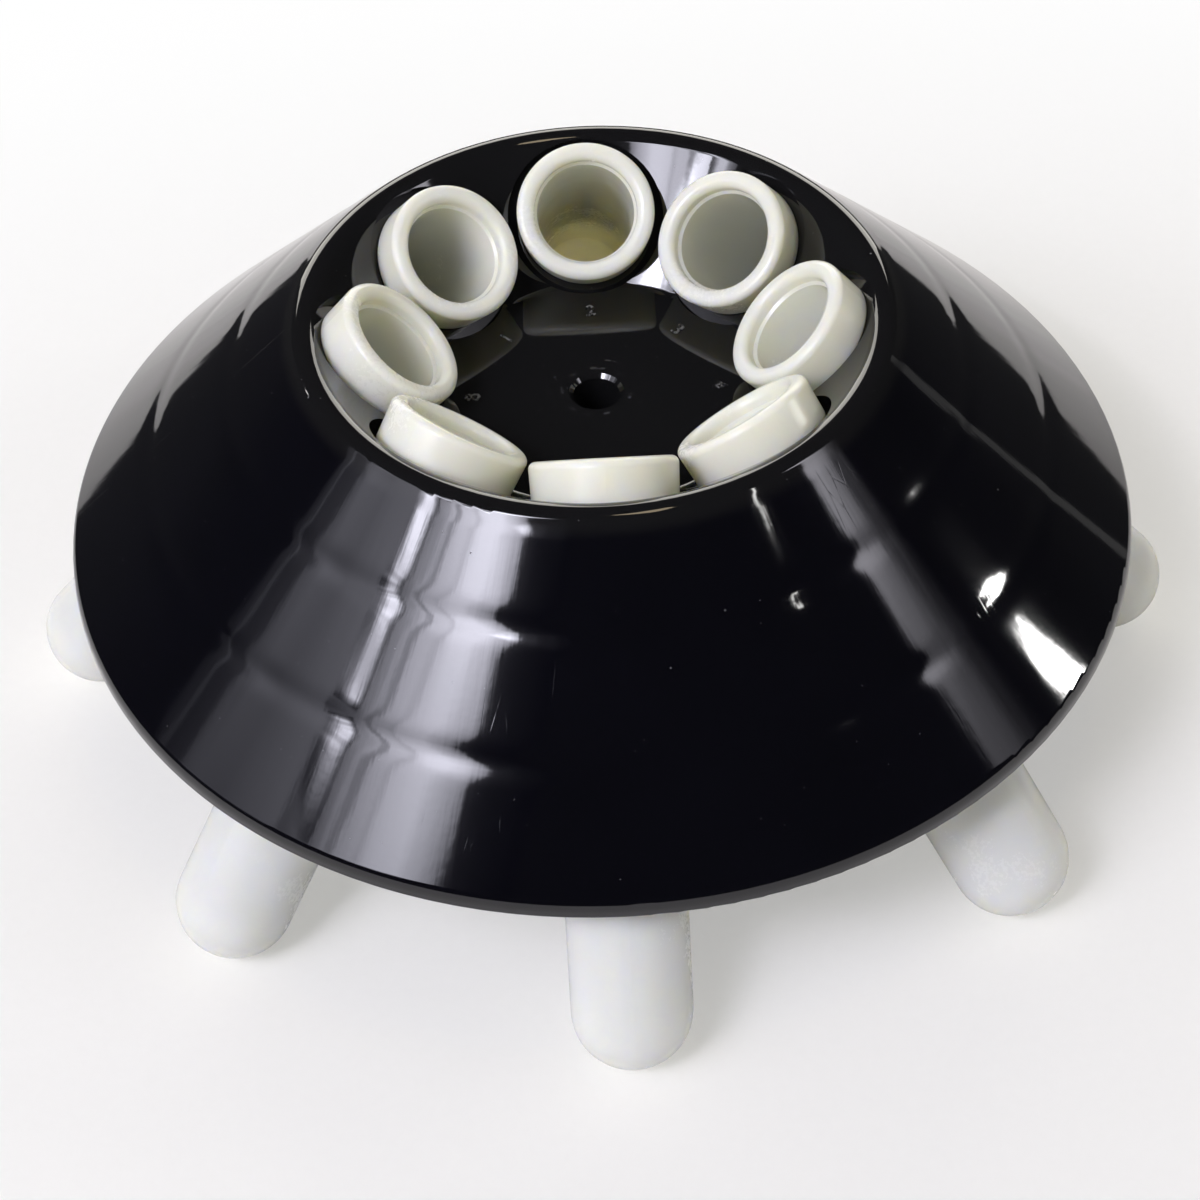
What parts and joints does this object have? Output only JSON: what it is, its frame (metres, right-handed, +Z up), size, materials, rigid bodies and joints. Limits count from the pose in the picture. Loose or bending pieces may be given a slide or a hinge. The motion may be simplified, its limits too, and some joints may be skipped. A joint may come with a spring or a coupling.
{
  "type": "fixed angle rotor",
  "caption": "Fixed-angle centrifuge rotor: a glossy black cone with a sunken top, and ivory tube sleeves hanging in a ring of slanting seats.",
  "frame": {"origin": "on the rotor's axis, in the plane that the sleeves' tips stand on", "axes": "+Z up along the rotor's axis, +X towards the fourth sleeve"},
  "size_m": [0.1988, 0.1988, 0.0809],
  "materials": {
    "body": "glossy black moulded plastic",
    "sleeve": "satin ivory moulded plastic"
  },
  "bodies": {
    "root": {"rotor_body": "body", "tube_sleeve_1": "sleeve", "tube_sleeve_2": "sleeve", "tube_sleeve_3": "sleeve", "tube_sleeve_4": "sleeve", "tube_sleeve_5": "sleeve", "tube_sleeve_6": "sleeve", "tube_sleeve_7": "sleeve", "tube_sleeve_8": "sleeve"}
  },
  "joints": []
}
